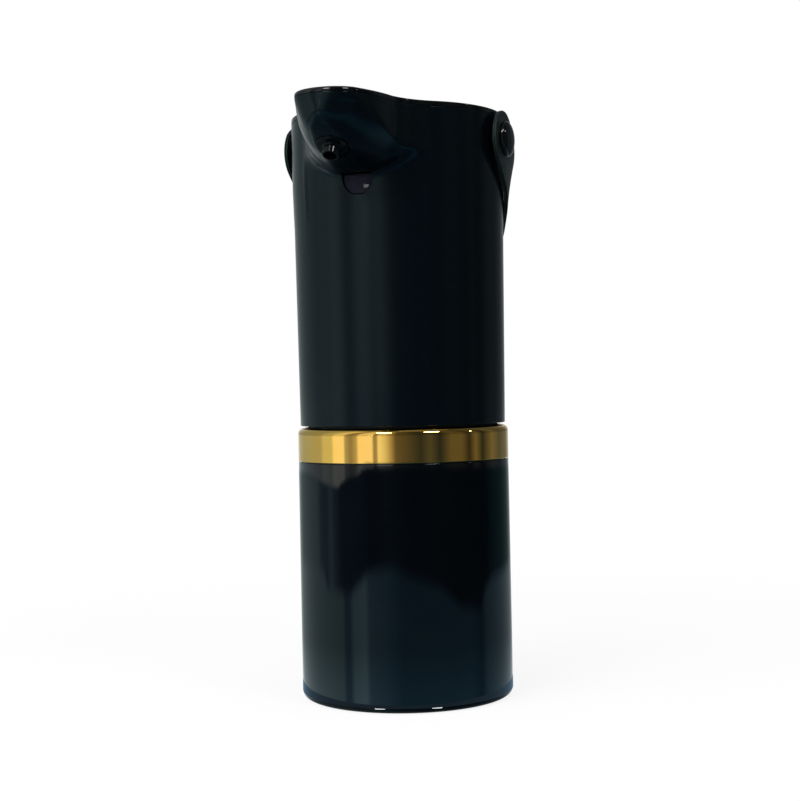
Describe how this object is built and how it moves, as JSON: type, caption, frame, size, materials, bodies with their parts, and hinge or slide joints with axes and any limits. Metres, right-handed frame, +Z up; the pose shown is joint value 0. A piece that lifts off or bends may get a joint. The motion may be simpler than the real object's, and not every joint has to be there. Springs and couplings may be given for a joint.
{
  "type": "automatic foam soap dispenser",
  "caption": "Touch-free foam soap dispenser: round bottle with a gilt collar, beaked pump head, leather carrying strap.",
  "frame": {"origin": "on the bottle's axis, on the surface the base pad stands on", "axes": "+Z up the bottle's axis, -Y out along the beak, the strap's studs on X, the charging port at +Y"},
  "size_m": [0.0834, 0.1057, 0.1994],
  "materials": {
    "board_green": "solder mask",
    "brass": "turned",
    "cell_wrap": "shrink sleeve",
    "frame_plastic": "moulded",
    "gilt": "gold plated, polished",
    "gloss_black": "polished",
    "leather": "smooth grain",
    "light_plastic": "clear diffusing",
    "matt_black": "fine texture",
    "rubber_black": "matt",
    "silicone": "satin, translucent",
    "smoked": "polished, passes infrared",
    "steel": "plain",
    "white_plastic": "moulded"
  },
  "bodies": {
    "bottle": {"base_pad": "rubber_black", "bottle": "gloss_black", "gold_band": "gilt", "neck_ring": "white_plastic"},
    "seal": {"neck_seal": "silicone"},
    "head": {"casing": "matt_black", "top_lid": "gloss_black", "light_ring": "light_plastic", "button_board": "board_green", "tact_switch": "frame_plastic", "button_spring": "steel", "base_plate": "frame_plastic", "base_screw_1": "steel", "base_screw_2": "steel", "base_screw_3": "steel", "chassis_screw_1": "steel", "chassis_screw_2": "steel", "chassis_screw_3": "steel", "chassis": "frame_plastic", "battery": "cell_wrap", "battery_cradle": "frame_plastic", "motor": "steel", "shaft_bush": "brass", "pump_housing": "white_plastic", "pump_cover": "frame_plastic", "idler_pin": "steel", "air_valve": "silicone", "dip_tube": "silicone", "intake_strainer": "white_plastic", "outlet_hose": "silicone", "nozzle": "gloss_black", "foam_chamber": "white_plastic", "foam_screen_outer": "steel", "foam_screen_inner": "steel", "screen_spacer": "white_plastic", "sensor_window": "smoked", "sensor_holder": "frame_plastic", "ir_emitter": "smoked", "ir_receiver": "smoked", "sensor_board": "board_green", "main_board": "board_green", "charge_board": "board_green", "usb_socket": "steel", "stud_left": "gloss_black", "stud_right": "gloss_black", "stud_washer_left": "steel", "stud_washer_right": "steel", "stud_screw_left": "steel", "stud_screw_right": "steel"},
    "button": {"power_button": "gloss_black", "switch_plunger": "white_plastic"},
    "strap": {"strap": "leather"},
    "port_cover": {"port_cover": "rubber_black"},
    "motor_rotor": {"motor_shaft": "steel", "motor_pinion": "brass"},
    "pump_drive": {"pump_shaft": "steel", "drive_gear": "white_plastic", "drive_rotor": "white_plastic"},
    "pump_idler": {"idler_rotor": "white_plastic"}
  },
  "joints": [
    {"name": "head_lift", "type": "slide", "parent": "bottle", "child": "seal", "axis": [0, 0, 1], "range_m": [0, 0.0032]},
    {"name": "head_twist", "type": "hinge", "parent": "seal", "child": "head", "pos_m": [0, 0, 0.0943], "axis": [0, 0, 1], "range_deg": [0, 75]},
    {"name": "button_press", "type": "slide", "parent": "head", "child": "button", "axis": [0, 0, -1], "range_m": [0, 0.0008], "stiffness_N_per_m": 600, "springref_m": -0.0004, "deforming": ["button_spring"]},
    {"name": "strap_swing", "type": "hinge", "parent": "head", "child": "strap", "pos_m": [0, 0, 0.1894], "axis": [1, 0, 0], "range_deg": [0, 135]},
    {"name": "cover_turn", "type": "hinge", "parent": "head", "child": "port_cover", "pos_m": [0, 0.03401, 0.10495], "axis": [-1, 0, 0], "range_deg": [0, 92]},
    {"name": "pump_spin", "type": "hinge", "parent": "head", "child": "pump_drive", "pos_m": [-0.002, 0.002, 0.11], "axis": [0, 0, 1], "continuous": true},
    {"name": "motor_spin", "type": "hinge", "parent": "head", "child": "motor_rotor", "pos_m": [-0.014, 0.002, 0.11], "axis": [0, 0, 1], "continuous": true},
    {"name": "idler_spin", "type": "hinge", "parent": "head", "child": "pump_idler", "pos_m": [-0.002, -0.0088, 0.11], "axis": [0, 0, 1], "continuous": true}
  ],
  "couplings": [
    {"joint": "head_lift", "follows": "head_twist", "m_per_rad": 0.0022918},
    {"joint": "motor_spin", "follows": "pump_spin", "ratio": -3},
    {"joint": "idler_spin", "follows": "pump_spin", "ratio": -1}
  ]
}
